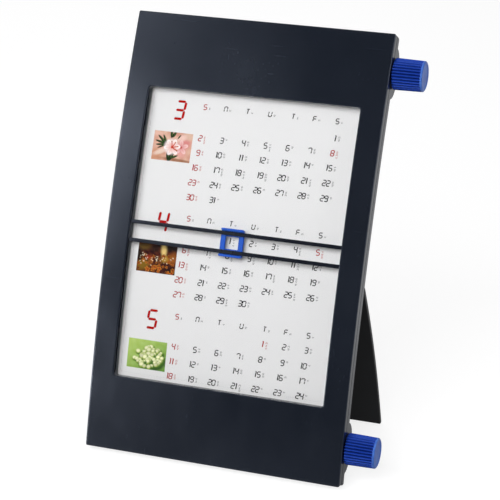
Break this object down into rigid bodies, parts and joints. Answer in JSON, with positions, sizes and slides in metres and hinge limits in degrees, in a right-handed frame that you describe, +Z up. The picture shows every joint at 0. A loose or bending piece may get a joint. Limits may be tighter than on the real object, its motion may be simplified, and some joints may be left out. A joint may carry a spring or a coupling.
{
  "type": "scroll desk calendar",
  "caption": "Slim arched desk calendar on a folding leg: printed paper strip behind a clear window, wound by side knobs, with a sliding date marker.",
  "frame": {"origin": "middle of the flat strip under the panel that stands on the desk", "axes": "+Z up, the printed front faces -Y, +X to the reader's right, towards the knobs; the leg stands behind, at +Y"},
  "size_m": [0.1396, 0.086, 0.1947],
  "materials": {
    "case": "moulded, satin, fine scratches",
    "leg": "moulded, satin",
    "lens": "clear, polished",
    "platen": "plain sheet",
    "paper": "printed paper, matt",
    "marker_bars": "moulded, satin",
    "cursor": "moulded, slightly translucent",
    "knob": "moulded, ribbed grip",
    "plug": "moulded",
    "tube": "extruded tube",
    "felt": "pressed felt",
    "steel": "bright zinc"
  },
  "bodies": {
    "frame": {"front_bezel": "case", "rear_cover": "case", "window_lens": "lens", "paper_platen": "platen", "paper_band": "paper", "hinge_pin": "steel", "drag_washer_lower": "felt", "drag_washer_upper": "felt", "cover_screw_1": "steel", "cover_screw_2": "steel", "cover_screw_3": "steel", "cover_screw_4": "steel", "cover_screw_5": "steel", "cover_screw_6": "steel"},
    "upper_roller": {"roller_tube_upper": "tube", "paper_roll_upper": "paper", "end_plug_upper": "plug", "knob_upper": "knob"},
    "lower_roller": {"roller_tube_lower": "tube", "paper_roll_lower": "paper", "end_plug_lower": "plug", "knob_lower": "knob"},
    "marker": {"marker_carriage": "marker_bars"},
    "cursor": {"marker_cursor": "cursor"},
    "leg": {"stand_leg": "leg"}
  },
  "joints": [
    {"name": "upper_roller_turn", "type": "hinge", "parent": "frame", "child": "upper_roller", "pos_m": [0, 0.06935, 0.17613], "axis": [-1, 0, 0], "range_deg": [-1440, 10800]},
    {"name": "lower_roller_turn", "type": "hinge", "parent": "frame", "child": "lower_roller", "pos_m": [0, 0.00471, 0.01641], "axis": [-1, 0, 0], "range_deg": [-1044, 7812]},
    {"name": "marker_travel", "type": "hinge", "parent": "frame", "child": "marker", "pos_m": [0, 0.74798, -0.19149], "axis": [-1, 0, 0], "range_deg": [-4.55, 4.51]},
    {"name": "cursor_slide", "type": "slide", "parent": "marker", "child": "cursor", "axis": [1, 0, 0], "range_m": [-0.0442, 0.0468]},
    {"name": "leg_fold", "type": "hinge", "parent": "frame", "child": "leg", "pos_m": [0, 0.03037, 0.0815], "axis": [-1, 0, 0], "range_deg": [0, 37]}
  ],
  "couplings": [
    {"joint": "lower_roller_turn", "follows": "upper_roller_turn", "ratio": 0.72222}
  ]
}
